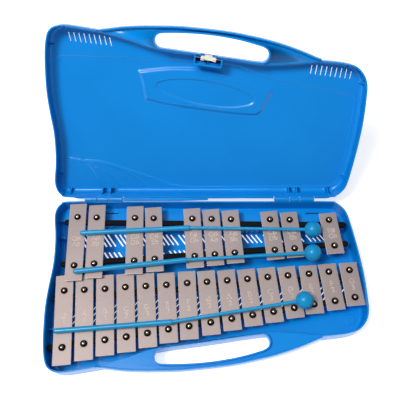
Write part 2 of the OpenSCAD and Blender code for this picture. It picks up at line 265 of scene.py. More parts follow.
def ring_profile(r0, r1, z0, z1, b=0.35):
    """closed profile loop of a ring, given to lathe_ring"""
    return [(r1 - b, z0), (r1 - 0.3 * b, z0 + 0.3 * b), (r1, z0 + b), (r1, z1 - b), (r1 - 0.3 * b, z1 - 0.3 * b), (r1 - b, z1),
            (r0 + b, z1), (r0 + 0.3 * b, z1 - 0.3 * b), (r0, z1 - b), (r0, z0 + b), (r0 + 0.3 * b, z0 + 0.3 * b), (r0 + b, z0)]


def lathe_ring(profile, at, seg=40):
    n = len(profile)
    v = [(at[0] + r * math.cos(2 * math.pi * i / seg), at[1] + r * math.sin(2 * math.pi * i / seg), at[2] + z) for i in range(seg) for r, z in profile]
    f = []
    for i in range(seg):
        j = (i + 1) % seg
        for k in range(n):
            m = (k + 1) % n
            f.append((i * n + k, j * n + k, j * n + m, i * n + m))
    return v, f


def box_rot(cx, cy, turn, sx, sy, z0, z1, bevel=0.3):
    a = math.radians(turn)
    c, s = math.cos(a), math.sin(a)
    pts = [(cx + c * x - s * y, cy + s * x + c * y) for x, y in ((-sx / 2, -sy / 2), (sx / 2, -sy / 2), (sx / 2, sy / 2), (-sx / 2, sy / 2))]
    return plate([pts], z0, z1, bevel)


# ---------------------------------------------------------------- materials
def lin(r, g, b):
    return tuple((c / 255 / 12.92) if c / 255 <= 0.04045 else ((c / 255 + 0.055) / 1.055) ** 2.4 for c in (r, g, b)) + (1.0,)


def material(name, colour, rough=0.4, metallic=0.0, vary=0.06, broad=9.0, rvary=0.06, grain=900.0, bump=0.04, bump_d=0.0002,
             coat=0.0, second=None, aniso=0.0, spec=0.5, speck=0.0, stretch=(1, 1, 1)):
    m = bpy.data.materials.new(name)
    m.use_nodes = True
    nt = m.node_tree
    nd, ln = nt.nodes, nt.links
    b = nd["Principled BSDF"]
    tc = nd.new("ShaderNodeTexCoord")
    n1 = nd.new("ShaderNodeTexNoise")
    n1.inputs["Scale"].default_value = broad
    n1.inputs["Detail"].default_value = 4.0
    ln.new(tc.outputs["Object"], n1.inputs["Vector"])
    mp = nd.new("ShaderNodeMapping")
    mp.inputs["Scale"].default_value = stretch
    ln.new(tc.outputs["Object"], mp.inputs["Vector"])
    n2 = nd.new("ShaderNodeTexNoise")
    n2.inputs["Scale"].default_value = grain
    n2.inputs["Detail"].default_value = 3.0
    n2.inputs["Roughness"].default_value = 0.65
    ln.new(mp.outputs["Vector"], n2.inputs["Vector"])
    ramp = nd.new("ShaderNodeValToRGB")
    lo = tuple(c * (1 - vary) for c in colour[:3]) + (1,)
    hi = tuple(min(1, c * (1 + vary)) for c in colour[:3]) + (1,)
    if second:
        hi = second
    ramp.color_ramp.elements[0].color = lo
    ramp.color_ramp.elements[0].position = 0.35
    ramp.color_ramp.elements[1].color = hi
    ramp.color_ramp.elements[1].position = 0.65
    ln.new(n1.outputs["Fac"], ramp.inputs["Fac"])
    mix = nd.new("ShaderNodeMix")
    mix.data_type = "RGBA"
    mix.blend_type = "MULTIPLY"
    mix.inputs[0].default_value = 1.0
    r2 = nd.new("ShaderNodeValToRGB")
    g = 1.0 - speck
    r2.color_ramp.elements[0].color = (g, g, g, 1)
    r2.color_ramp.elements[0].position = 0.3
    r2.color_ramp.elements[1].color = (1, 1, 1, 1)
    r2.color_ramp.elements[1].position = 0.6
    ln.new(n2.outputs["Fac"], r2.inputs["Fac"])
    ln.new(ramp.outputs["Color"], mix.inputs[6])
    ln.new(r2.outputs["Color"], mix.inputs[7])
    ln.new(mix.outputs[2], b.inputs["Base Color"])
    rr = nd.new("ShaderNodeMapRange")
    rr.inputs["To Min"].default_value = rough - rvary
    rr.inputs["To Max"].default_value = rough + rvary
    ln.new(n1.outputs["Fac"], rr.inputs["Value"])
    ln.new(rr.outputs["Result"], b.inputs["Roughness"])
    bp = nd.new("ShaderNodeBump")
    bp.inputs["Strength"].default_value = bump
    bp.inputs["Distance"].default_value = bump_d
    ln.new(n2.outputs["Fac"], bp.inputs["Height"])
    ln.new(bp.outputs["Normal"], b.inputs["Normal"])
    b.inputs["Metallic"].default_value = metallic
    b.inputs["Specular IOR Level"].default_value = spec
    b.inputs["Coat Weight"].default_value = coat
    b.inputs["Anisotropic"].default_value = aniso
    return m


M_CASE = material("case_plastic", (0.0004, 0.226, 0.68), rough=0.24, rvary=0.03, vary=0.04, grain=1400, bump=0.05, bump_d=0.0001, speck=0.03, spec=0.38)
M_MALLET = material("mallet_plastic", (0.004, 0.275, 0.55), rough=0.28, vary=0.05, grain=700, bump=0.06, speck=0.03, spec=0.5)
M_BALL = material("mallet_head_plastic", (0.004, 0.245, 0.52), rough=0.3, vary=0.05, grain=500, bump=0.05, speck=0.03, spec=0.28)
M_BAR = material("bar_steel", (0.42, 0.350, 0.340), rough=0.56, metallic=0.6, vary=0.05, broad=14, rvary=0.05, grain=1800, bump=0.22,
                 bump_d=0.00008, speck=0.16)


def paint_side_highlight(m, highlight_colour):
    """painted highlight: faces that don't face straight up (bar sides, walls of the stamped letters) are painted
    brighter, standing in for the light they catch
    """
    nt = m.node_tree
    nd, ln = nt.nodes, nt.links
    bs = nd["Principled BSDF"]
    src = bs.inputs["Base Color"].links[0].from_socket
    ge = nd.new("ShaderNodeNewGeometry")
    sx = nd.new("ShaderNodeSeparateXYZ")
    ln.new(ge.outputs["Normal"], sx.inputs[0])
    mr = nd.new("ShaderNodeMapRange")
    mr.inputs["From Min"].default_value = 0.985
    mr.inputs["From Max"].default_value = 0.7
    mr.inputs["To Min"].default_value = 0.0
    mr.inputs["To Max"].default_value = 1.0
    ln.new(sx.outputs["Z"], mr.inputs["Value"])
    mx = nd.new("ShaderNodeMix")
    mx.data_type = "RGBA"
    mx.blend_type = "MIX"
    ln.new(mr.outputs["Result"], mx.inputs[0])
    ln.new(src, mx.inputs[6])
    mx.inputs[7].default_value = highlight_colour
    ln.new(mx.outputs[2], bs.inputs["Base Color"])


# painted highlight: the bar sides and the walls of the stamped letters get a lighter colour than the tops
paint_side_highlight(M_BAR, (0.95, 0.86, 0.80, 1))
M_RAIL = material("rail_rubber", (0.006, 0.006, 0.007), rough=0.8, spec=0.1, vary=0.3, grain=900, bump=0.5, bump_d=0.0003, speck=0.3)
M_GROM = material("grommet_rubber", (0.002, 0.002, 0.0022), rough=0.6, spec=0.04, vary=0.3, grain=1100, bump=0.2, speck=0.2)
M_PIN = material("pin_nickel", (0.58, 0.43, 0.28), rough=0.2, metallic=1.0, vary=0.08, broad=60, grain=1500, bump=0.06, speck=0.1)
M_ROD = material("rod_steel", (0.68, 0.67, 0.66), rough=0.22, metallic=1.0, vary=0.05, broad=40, grain=1500, bump=0.05, speck=0.08)
M_LATCH = material("latch_plastic", (0.80, 0.77, 0.68), rough=0.4, vary=0.05, broad=60, grain=900, bump=0.1, speck=0.05)


def finish_piece(o, body, slot, *nodes):
    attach(o, body)
    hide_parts(*nodes)
    return o


# ---------------------------------------------------------------- outline with marked turns of the wall
OUT = loop_curve(CASE, 7)


def with_marks(p, marks):
    """adds a pair of points where the front wall changes height"""
    out = []
    for i in range(len(p)):
        a, b = p[i], p[(i + 1) % len(p)]
        out.append(a)
        if a[1] < -55 and b[1] < -55 and b[0] > a[0]:
            for m in marks:
                for x in (m - 0.25, m + 0.25):
                    if a[0] < x < b[0]:
                        out.append(a + (b - a) * (x - a[0]) / (b[0] - a[0]))
    return np.array(out)


MARKS = [-50.5, 75.5]
OUT = with_marks(OUT, MARKS)
NRM = normals(OUT)
OUT = OUT + NRM * 0.06


def front_wall(h):
    """height of the wall at each point of OUT: beside the finger hole it drops to the webs"""
    low = h - WEB - 0.55
    top = []
    for x, y in OUT:
        if y > -55 or -50.5 < x < 75.5:
            top.append(1e9)
            continue
        k = max(1 - step(-129.0, -121.0, x), step(142.5, 150.0, x))
        top.append(1e9 if k >= 1 else low + (h - low) * k)
    return top


def ringpts(d, z, top=None):
    q = OUT + NRM * d
    if top is None:
        return [(x, y, z) for x, y in q]
    return [(x, y, min(z, t)) for (x, y), t in zip(q, top)]


def circle(cx, cy, r, n=28, a0=0.0, a1=360.0):
    full = abs(a1 - a0) >= 360
    k = n if full else n + 1
    return [(cx + r * math.cos(math.radians(a0 + (a1 - a0) * i / n)), cy + r * math.sin(math.radians(a0 + (a1 - a0) * i / n))) for i in range(k)]


def hole_loop(grow=0.0, n=14):
    """outline of the finger hole, grown outwards; anticlockwise"""
    front = through(list(reversed(HOLE_FRONT)), 4)
    front = front - normals(front, False) * grow * -1 * -1
    back = through(list(reversed(HOLE_BACK)), 6)
    back = back - normals(back, False) * grow
    left = circle(-49, -95.2, 9 + grow, n, 98, 252)
    right = circle(71.6, -77.1, 9.3 + grow, n, -74, 78)
    pts = [tuple(p) for p in front] + right + [tuple(p) for p in back][1:-1] + left
    out = [pts[0]]
    for p in pts[1:]:
        if math.dist(p, out[-1]) > 0.5:
            out.append(p)
    return out


GE = open_curve(GRIP, 5)
GN = normals(GE, False)


def strip_between(a, b):
    return [tuple(p) for p in a] + [tuple(p) for p in reversed(b)]


def floor_sheet(bound, slots, z, hfun, extra, n_down):
    """triangles of a flat or relief sheet inside bound, with slots left open; returns verts, faces, slot vertex loops"""
    co = [tuple(p) for p in bound]
    nb = len(co)
    edges = [(i, (i + 1) % nb) for i in range(nb)]
    idx = []
    for s in slots:
        k = len(co)
        co += [tuple(p) for p in s]
        idx.append(list(range(k, len(co))))
        edges += [(k + i, k + (i + 1) % len(s)) for i in range(len(s))]
    if len(extra):
        e = np.array(extra, float)
        ok = inside(e, np.array(bound)) & (dist(e, np.array(bound)) > 0.9)
        for s in slots:
            s = np.array(s)
            near = (np.abs(e - s.mean(0)).max(1) < 26)
            if near.any():
                w = np.where(near)[0]
                bad = inside(e[w], s) | (dist(e[w], s) < 0.7)
                ok[w[bad]] = False
        e = e[ok]
        key = {}
        for p in e:
            key.setdefault((round(p[0] / 0.35), round(p[1] / 0.35)), p)
        co += [tuple(p) for p in key.values()]
    v, ed, fa, ov, oe, of_ = geometry.delaunay_2d_cdt([Vector(p) for p in co], edges, [], 1, 1e-5)
    src = [o[0] if o else -1 for o in ov]
    back = {s: i for i, s in enumerate(src) if s >= 0}
    P = np.array([(p.x, p.y) for p in v])
    cen = np.array([P[list(t)].mean(0) for t in fa])
    keep = inside(cen, np.array(bound))
    for s in slots:
        s = np.array(s)
        w = np.where(np.abs(cen - s.mean(0)).max(1) < 28)[0]
        keep[w[inside(cen[w], s)]] = False
    H = hfun(P) if hfun else np.zeros(len(P))
    verts = [(p[0], p[1], z + h) for p, h in zip(P, H)]
    faces = [tuple(t) for t, k in zip(fa, keep) if k]
    loops = [[back[i] for i in lp] for lp in idx]
    return verts, faces, loops


def slot_walls(b, v_in, l_in, v_out, l_out):
    for a, c in zip(l_in, l_out):
        pa = [v_in[i] for i in a]
        pc = [v_out[i] for i in c]
        n = len(pa)
        b.add(pa + pc, [(i, (i + 1) % n, n + (i + 1) % n, n + i) for i in range(n)])


def band(line, offs, closed=True, every=2.2):
    line = np.array(line, float)
    seg = np.roll(line, -1, 0) - line if closed else np.diff(line, axis=0)
    p = line if closed else line[:-1]
    pts, nr = [], []
    for a, s in zip(p, seg):
        L = float(np.linalg.norm(s))
        k = max(1, int(L / every))
        nn = np.array([-s[1], s[0]]) / max(L, 1e-9)
        for i in range(k):
            pts.append(a + s * i / k)
            nr.append(nn)
    pts, nr = np.array(pts), np.array(nr)
    return [q for o in offs for q in (pts + nr * o)]


def grid(x0, x1, y0, y1, stepmm):
    return [(x, y) for x in np.arange(x0, x1, stepmm) for y in np.arange(y0, y1, stepmm)]


def shell(b, h, slots_floor, hfun, extra, fillet, tz=lambda z: z):
    """body of one half: outer skin, rim, inner skin and floor. tz maps local height to height"""
    top = front_wall(h)
    prof = [(9.0, 0.0), (5.9, 0.0)]
    for k in range(1, 9):
        a = math.radians(11.25 * k)
        prof.append((5.9 - 4.7 * math.sin(a), 4.7 - 4.7 * math.cos(a)))
    prof += [(0.45, h - 6.2), (0.3, h - 5.8), (0.0, h - 5.4), (0.0, h - 0.75), (0.06, h - 0.42), (0.25, h - 0.15), (0.6, h), (1.45, h),
             (1.8, h - 0.15), (2.0, h - 0.42), (2.1, h - 0.75)]
    prof += [(2.2, WALL + fillet)]
    for k in range(1, 9):
        a = math.radians(90 * k / 8)
        prof.append((2.2 + fillet * (1 - math.cos(a)), WALL + fillet * (1 - math.sin(a))))
    d_in = 2.2 + fillet + 0.5
    prof.append((d_in, WALL))
    rings = [[(x, y, tz(z)) for x, y, z in ringpts(d, z, top)] for d, z in prof]
    b.add(*loft(rings))
    bi = [(x, y) for x, y, z in rings[-1]]
    bo = [(x, y) for x, y, z in rings[0]]
    vi, fi, li = floor_sheet(bi, slots_floor, 0, hfun, extra, 0)
    vo, fo, lo = floor_sheet(bo, slots_floor, 0, hfun, extra, 0)
    vi = [(x, y, tz(WALL + z)) for x, y, z in vi]
    vo = [(x, y, tz(z * 0.9)) for x, y, z in vo]
    b.add(vi, fi)
    b.add(vo, fo)
    slot_walls(b, vi, li, vo, lo)


def handle(b, h, notch, tz=lambda z: z):
    """webs, outer lip and collar of one half of the handle"""

    def put(vf):
        v, f = vf
        b.add([(x, y, tz(z)) for x, y, z in v], f)

    lip_in = GE[1:-1] + GN[1:-1] * 2.2
    lip = strip_between(GE[1:-1] + GN[1:-1] * 0.02, lip_in)
    put(plate([lip], h - GRIP_H, h, 0.6, 3))
    # web floor, from the tray edge to the lip, open over the collar
    tray = [tuple(OUT[i] + NRM[i] * 2.28) for i in range(len(OUT)) if OUT[i][1] < -55 and -124.5 < OUT[i][0] < 148.5]
    front = [tuple(p) for p in (GE[1:-1] + GN[1:-1] * 1.2)]
    left = [(x, y) for x, y in tray if x < -50.5]
    outer = front + list(reversed(tray))
    put(plate([outer, hole_loop(0.9)], h - WEB - WALL, h - WEB, 0.45, 3))
    # collar round the hole; behind the hole it is the wall itself
    ring = hole_loop(2.1)
    put(plate([ring, hole_loop(-0.04)], h - GRIP_H, h, 0.6, 3))


# ================================================================ lower half
b = Build()
slits = []


def slit(x, y0, y1, lean, w=2.1):
    """a slanting slot from (x, y0) up to y1"""
    a = math.radians(lean)
    c, s = math.cos(a), math.sin(a)
    l = (y1 - y0) / c
    slits.append([(x + c * u - s * v, y0 + s * u + c * v) for u, v in ((-w / 2, 0), (w / 2, 0), (w / 2, l), (-w / 2, l))])


def on_line(r, x):
    (x0, y0), (x1, y1) = RAILS[r][:2]
    return y0 + (x - x0) * (y1 - y0) / (x1 - x0)


for k in range(-4, 8):
    for i in range(4):
        x = -54.4 + 28.78 * k + 6.23 * i
        slit(x, 60.7 + 0.0313 * (x + 54.4), 77, 36)
        if k < 6 and (k > -4 or i > 1):
            slit(x + 16, on_line("rail_sharp_front", x) + 5.6, 53.1 + 0.035 * (x + 54.4), 36)
for k in range(-2, 39):
    x = -151 + 8.7 * k
    hh = min(14.5, (on_line("rail_natural_rear", x) - on_line("rail_natural_front", x)) / 2 - 5.2)
    y = on_line("rail_natural_rear", x) - 5.5 - hh
    slit(x - 0.9 * hh, y - hh, y + hh, -42, 1.5)


def base_relief(P):
    r = np.hypot(P[:, 0] - 186.5, P[:, 1] + 41.5)
    h = 0.5 * step(7.0, 6.2, r) if False else 0.5 * (1 - step(6.2, 7.0, r))
    return h


boss = [(186.5 + r * math.cos(t), -41.5 + r * math.sin(t)) for r in (5.6, 6.2, 6.6, 7.0, 7.6) for t in np.linspace(0, 2 * math.pi, 40)[:-1]]
shell(b, BASE_H, slits, base_relief, boss, 4.0)
handle(b, BASE_H, False)


def bow(q):
    return 4 * q * (1 - q)


def nat_pos(i):
    return np.array([-175.8 + 26.1 * i, -48.5 + 3.4 * i - 1.2 * bow(i / 14)])


def shp_pos(i):
    return np.array([-171.2 + 26.2 * SHP_SLOT[i], 55.3 + 0.95 * SHP_SLOT[i]])


def bar_len(s):
    return 115 * 2 ** (-s / 24)


def nat_len(i):
    return bar_len(NAT_SEMI[i]) + LEN_BOW * bow(i / 14)


def shp_len(i):
    return bar_len(SHP_SEMI[i]) + LEN_BOW * bow(SHP_SLOT[i] / 13)


def pins_of(pos, turn, l):
    a = math.radians(turn)
    return [pos + s * l * PIN_AT * np.array([-math.sin(a), math.cos(a)]) for s in (-1, 1)]


NAT_PINS = [p for i in range(15) for p in pins_of(nat_pos(i), NAT_TURN[i], nat_len(i))]
SHP_PINS = [p for i in range(10) for p in pins_of(shp_pos(i), SHP_TURN[i], shp_len(i))]


def strip_loop(p, q, w):
    p, q = np.array(p, float), np.array(q, float)
    a = math.degrees(math.atan2(*(q - p)[::-1]))
    return circle(p[0], p[1], w / 2, 12, a + 90, a + 270) + circle(q[0], q[1], w / 2, 12, a - 90, a + 90)


def clip_to_case(lp, d=1.2):
    edge = OUT + NRM * d
    P = np.array(lp)
    out = []
    ins = inside(P, edge)
    for p, k in zip(P, ins):
        if not k:
            j = int(np.argmin(np.linalg.norm(edge - p, axis=1)))
            p = edge[j]
        out.append(tuple(p))
    keep = [out[0]]
    for p in out[1:]:
        if math.dist(p, keep[-1]) > 0.05:
            keep.append(p)
    return keep


# ribs that carry the rails
for n, (p, q, top) in RAILS.items():
    b.add(*plate([clip_to_case(strip_loop(p, q, 7.0))], 1.2, top - 5, 0.5))
# posts for the pins
for P, bot in ((NAT_PINS, NAT_TOP - BAR_T), (SHP_PINS, SHP_TOP - BAR_T)):
    for x, y in P:
        b.add(*lathe_ring([(r, z) for r, z in ring_profile(1.15, 3.2, 1.2, bot - 3, 0.4)], (x, y, 0), 24))
# shelf along the hinge side
inner_edge = OUT + NRM * 2.15
back = [tuple(p) for p in inner_edge if p[1] > 92.5]
back.sort(key=lambda p: math.atan2(p[1] - 60, p[0]))
back = [(p[0], p[1]) for p in back]
shelf = back + [(back[-1][0], 92.0), (back[0][0], 92.0)]
sl = [[(x, 104.4), (x + 17, 104.4), (x + 17, 105.8), (x, 105.8)] for x in (-138, 141)]
b.add(*plate([shelf] + sl, 9.8, 12.0, 0.5))
xl, xr = back[-1][0], back[0][0]
b.add(*plate([[(xl, 92.0), (xr, 92.0), (xr, 94.2), (xl, 94.2)]], 1.2, 11.6, 0.3))
# small stiffening fins of the tray wall
for x, y, t in ((-192.5, -60, 4), (-191.5, 2, 0), (-194, 66, -8)):
    b.add(*box_rot(x, y, t, 8, 1.5, 1.5, 15, 0.4))


def bar_x(x0, x1, r, y=HY, z=HZ, bore=0.0):
    if bore:
        v, f = lathe_ring([(q, w) for q, w in ring_profile(bore, r, 0, x1 - x0, 0.45)], (0, 0, 0), 36)
    else:
        v, f = lathe(rod_profile(r, x1 - x0, 0.45), (0, 0, 0), seg=36)
    return [(x0 + c, y - bb, z + a) for a, bb, c in v], f


for hg in HINGES:
    for k0, k1 in ((hg[0], hg[1]), (hg[2], hg[3])):
        b.add(*bar_x(k0, k1, 4.0, bore=1.55))
        b.add(*box_rot((k0 + k1) / 2, 115.0, 0, k1 - k0, 3.6, 19, 29.4, 0.5))
# lips that the latch catches under
LC, LS = math.cos(math.radians(8.6)), math.sin(math.radians(8.6))


def at_latch(x, y):
    return (7.5 + LC * x - LS * y, -76.7 + LS * x + LC * y)


for x in (-2.5, 12.5):
    cx, cy = at_latch(x, 1.45)
    b.add(*box_rot(cx, cy, 8.6, 4.4, 1.7, BASE_H - 3.2, BASE_H - 1.6, 0.2))
base_vis = finish_piece(b.make("shell_lower", M_CASE, angle=21), "case_base", "case_plastic", "base_shell")

# ================================================================ lid
PANEL = [(-186.5, -70), (-182.5, -75), (-171.5, -76), (-126.5, -74), (-74, -69), (-58, -70.5), (32, -63), (58.5, -55.5), (99, -41), (139.5, -33),
         (187, -22.5), (193.5, -18), (194.5, -6.5), (191.5, 39.5), (185.5, 89), (178.5, 101), (164.5, 105.5), (62.5, 105.5), (-31, 105.5),
         (-66, 94), (-97.5, 82.5), (-131, 70), (-151, 66), (-168.5, 65.5), (-183, 63), (-187, 58.5), (-187.5, 38), (-187.5, -8.5), (-187.2, -58)]
BADGE = [(-83.7, -54.8), (-79.8, -56.9), (-58.3, -59.3), (-34.3, -60.5), (-5.1, -58.9), (18.7, -55), (45.4, -47.1), (69.6, -38.1), (87.3, -30.1),
         (89.3, -27.1), (85.1, -18.4), (80.1, -7.3), (76.8, -1.7), (70.9, 3.4), (62.7, 4.5), (32.5, 1.7), (-5.9, -3.6), (-38.8, -8.8),
         (-60.5, -13.7), (-74, -17.2), (-77.4, -20.8), (-78.9, -35.9), (-80.9, -46.7)]
LEAF = [(-60.2, -37.1), (-56.5, -41.2), (-42.9, -44.3), (-21.4, -44.7), (0, -42.6), (21.4, -38.5), (40.3, -32.4), (56.5, -25.4), (64.2, -19.9),
        (65.5, -15.2), (59.6, -10.8), (46, -8.3), (27, -7.6), (5.1, -10), (-16.7, -14.9), (-35.6, -21.4), (-51.7, -28.1), (-59.6, -33.1)]
RIBS = [[(-183, 63), (-168.7, 66.5), (-155.3, 77.8), (-148.2, 95.2), (-146.4, 106)], [(-168.7, 66.5), (-149.3, 76.2), (-130, 88.9), (-116, 106)],
        [(-157.2, 68.4), (-140, 70.3), (-111.8, 81), (-89.4, 96.9), (-78, 106)]]
panel = loop_curve(PANEL, 3)
badge = loop_curve(BADGE, 3)
leaf = loop_curve(LEAF, 4)
ribs = [through(r, 6) for r in RIBS]


def lid_relief(P):
    h = np.zeros(len(P))
    s = dist(P, panel) * np.where(inside(P, panel), 1, -1)
    h -= 0.75 * step(-0.9, 0.9, s)
    s = dist(P, badge) * np.where(inside(P, badge), 1, -1)
    h += 2.8 * step(-1.0, 5.0, s)
    s = dist(P, leaf) * np.where(inside(P, leaf), 1, -1)
    h -= 1.5 * step(-1.4, 1.4, s)
    for r in ribs:
        d = dist(P, r, False)
        h += 0.55 * (1 - step(0.0, 1.7, d))
    return h


extra = band(panel, (-1.3, -0.9, -0.45, 0, 0.45, 0.9, 1.3))
extra += band(badge, (-2, -1, 0, 1, 2, 3, 4, 5, 6, 8), every=1.8)
extra += band(leaf, (-2.2, -1.4, -0.7, 0, 0.7, 1.4, 2.2), every=1.6)
for r in ribs:
    extra += band(r, (-2.2, -1.7, -1.0, -0.5, 0, 0.5, 1.0, 1.7, 2.2), closed=False)
extra += grid(-195, 200, -105, 110, 9)


def order(e):
    """returns the points unchanged; they are already listed finest features first, so that the coarse grid gives way
    near them
    """
    return e


vents = []
for i in range(9):
    for x, y, l, t in ((-165.8 + 6.3 * i, -98.8 + 0.76 * i, 11.4, -8.5), (136.5 + 6.25 * i, -55.9 + 0.89 * i, 12, 7.5)):
        a = math.radians(t)
        c, s = math.cos(a), math.sin(a)
        vents.append([(x + c * u - s * w, y + s * u + c * w) for u, w in ((-0.45, -l / 2), (0.45, -l / 2), (0.45, l / 2), (-0.45, l / 2))])

b = Build(opened)
tz = lambda z: TOP - z
shell(b, LID_H, vents, lid_relief, order(extra), 5.5, tz)
handle(b, LID_H, True, tz)


def put(vf):
    v, f = vf
    b.add([(x, y, TOP - z) for x, y, z in v], f)


def fin(x, y, dx, dy, reach, z_hi, t=1.5):
    """triangular stiffener standing against the wall at x, y and reaching inwards"""
    n = Vector((dx, dy, 0)).normalized()
    s = Vector((-n.y, n.x, 0)) * t / 2
    prof = [(-1.0, WALL - 0.4), (reach, WALL - 0.4), (reach, WALL + 1.2), (1.6, z_hi), (-1.0, z_hi)]
    base = Vector((x, y, 0))
    v = []
    for sgn in (-1, 1):
        for r, z in prof:
            p = base + n * r + s * sgn
            v.append((p.x, p.y, z))
    for sgn in (-1, 1):
        for r, z in prof:
            k = 0.45
            rr = min(r, reach - k)
            p = base + n * rr + s * (sgn * 1.0)
            v.append((p.x, p.y, z))
    k = len(prof)
    f = [tuple(range(k)), tuple(range(2 * k - 1, k - 1, -1))] + [(i, (i + 1) % k, k + (i + 1) % k, k + i) for i in range(k)]
    v = v[:2 * k]
    bm = bmesh.new()
    vs = [bm.verts.new(p) for p in v]
    for q in f:
        bm.faces.new([vs[i] for i in q])
    bmesh.ops.recalc_face_normals(bm, faces=bm.faces)
    bmesh.ops.bevel(bm, geom=list(bm.edges), offset=0.3, segments=2, affect="EDGES", profile=0.5)
    bm.verts.index_update()
    put(([tuple(q.co) for q in bm.verts], [tuple(w.index for w in q.verts) for q in bm.faces]))
    bm.free()


def fin_from(x, y, reach=5.5, z_hi=11.0):
    j = int(np.argmin(np.linalg.norm(OUT - np.array([x, y]), axis=1)))
    p = OUT[j] + NRM[j] * 2.0
    fin(p[0], p[1], NRM[j][0], NRM[j][1], reach, z_hi)


for x, y in ((-171.5, -115), (-192.5, -90), (-203.5, 84), (-186.5, 115), (169, 115), (195, 92), (184, -63.5), (203.5, -40)):
    fin_from(x, y)
for x in (-143, -132, 117, 128):
    fin(x, 112.8, 0, -1, 5.0, 9.5, 1.6)


def rrect(x0, x1, y0, y1, r, n=5):
    pts = []
    for cx, cy, a in ((x1 - r, y0 + r, -90), (x1 - r, y1 - r, 0), (x0 + r, y1 - r, 90), (x0 + r, y0 + r, 180)):
        pts += [(cx + r * math.cos(math.radians(a + 90 * k / n)), cy + r * math.sin(math.radians(a + 90 * k / n))) for k in range(n + 1)]
    return [at_latch(x, y) for x, y in pts]


# latch pocket: side and rear walls, and the front wall beside the window
u = [(-17.7, 0.2), (-17.7, 13), (17.7, 13), (17.7, 0.2), (15.9, 0.2), (15.9, 11.2), (-15.9, 11.2), (-15.9, 0.2)]


def rounded(poly, r, n=4):
    out = []
    m = len(poly)
    for i in range(m):
        p0, p1, p2 = (np.array(poly[(i + k) % m], float) for k in (-1, 0, 1))
        a, c = p0 - p1, p2 - p1
        la, lc = np.linalg.norm(a), np.linalg.norm(c)
        rr = min(r, la / 2.2, lc / 2.2)
        s, e = p1 + a / la * rr, p1 + c / lc * rr
        for k in range(n + 1):
            t = k / n
            out.append(tuple((1 - t) ** 2 * s + 2 * t * (1 - t) * p1 + t * t * e))
    return out


put(plate([[at_latch(*p) for p in reversed(rounded(u, 1.6))]], WALL - 0.8, LID_H, 0.35, 3))
# centre rib and ledge inside the pocket
put(plate([[at_latch(*p) for p in [(-0.6, 6.6), (0.6, 6.6), (0.6, 11.6), (-0.6, 11.6)]]], WALL - 0.8, LID_H - 4.5, 0.25))
put(plate([[at_latch(*p) for p in [(-16.2, 9.4), (16.2, 9.4), (16.2, 11.6), (-16.2, 11.6)]]], WALL - 0.8, LID_H - 7.0, 0.3))
for hg in HINGES:
    v, f = bar_x(hg[1] + 0.9, hg[2] - 0.9, 4.0, bore=1.55)
    b.add(v, f)
    w = hg[2] - hg[1] - 1.8
    v, f = box_rot((hg[1] + hg[2]) / 2, 115.0, 0, w, 3.6, BASE_H + 1.4, 40, 0.5)
    b.add(v, f)
v, f = plate([[(-186, 113.4), (177, 113.4), (170, 115.9), (167.5, 116.4), (165, 116.6), (-174, 116.6), (-176.5, 116.4), (-179, 115.9)]], BASE_H + GAP, BASE_H + GAP + 2.2, 0.5, 3)
b.add(v, f)
v, f = lathe([(0, 0), (2.0, 0), (2.3, 0.3), (2.3, 78), (1.3, 116.7), (1.0, 117), (0, 117)], (0, 0, 0), seg=28)
b.add([(-112 + c, HY - bb, HZ + a) for a, bb, c in v], f)
lid_vis = b.make("shell_lid", M_CASE)

# window of the latch, cut through the wall behind the finger hole
cut = bmesh.new()
w2 = [at_latch(*p) for p in [(-10.2, -4), (10.2, -4), (10.2, 1.35), (-10.2, 1.35)]]
lo = [cut.verts.new(tuple(c * MM for c in opened((x, y, BASE_H + GAP - 1)))) for x, y in w2]
hi = [cut.verts.new(tuple(c * MM for c in opened((x, y, BASE_H + GAP + 13)))) for x, y in w2]
cut.faces.new(lo)
cut.faces.new(list(reversed(hi)))
for i in range(4):
    cut.faces.new([lo[i], lo[(i + 1) % 4], hi[(i + 1) % 4], hi[i]])
for hg in HINGES:
    for k0, k1 in ((hg[0], hg[1]), (hg[2], hg[3])):
        v, f = lathe([(0, 0), (4.4, 0), (4.4, k1 - k0 + 1.8), (0, k1 - k0 + 1.8)], (0, 0, 0), seg=36)
        vs = [cut.verts.new(((k0 - 0.9 + c) * MM, (HY - bb) * MM, (HZ + a) * MM)) for a, bb, c in v]
        for q in f:
            cut.faces.new([vs[i] for i in q])
bmesh.ops.recalc_face_normals(cut, faces=cut.faces)
cm = bpy.data.meshes.new("cut")
cut.to_mesh(cm)
cut.free()
co_ = bpy.data.objects.new("cut", cm)
bpy.context.scene.collection.objects.link(co_)


def carve(o, tool, solver="EXACT", angle=38):
    """cuts tool out of o, and keeps o's own look"""
    md = o.modifiers.new("cut", "BOOLEAN")
    md.object = tool
    md.operation = "DIFFERENCE"
    md.solver = solver
    md.use_self = True
    for m in [m for m in o.modifiers if m.type == "WEIGHTED_NORMAL"]:
        o.modifiers.remove(m)
    dg = bpy.context.evaluated_depsgraph_get()
    me = bpy.data.meshes.new_from_object(o.evaluated_get(dg))
    o.modifiers.remove(md)
    old = o.data
    o.data = me
    bpy.data.meshes.remove(old)
    for p in me.polygons:
        p.use_smooth = True
    me.set_sharp_from_angle(angle=math.radians(angle))
    w = o.modifiers.new("weighted", "WEIGHTED_NORMAL")
    w.keep_sharp = True
    w.weight = 100


carve(lid_vis, co_, angle=21)
bpy.data.objects.remove(co_)
finish_piece(lid_vis, "lid", "case_plastic", "lid_shell")

# ================================================================ latch
b = Build(opened)
RZ = BASE_H + GAP


def latch_box(x0, x1, y0, y1, z0, z1, bev=0.5):
    b.add(*plate([[at_latch(*p) for p in rounded([(x0, y0), (x1, y0), (x1, y1), (x0, y1)], 0.5, 3)]], z0, z1, bev, 3))


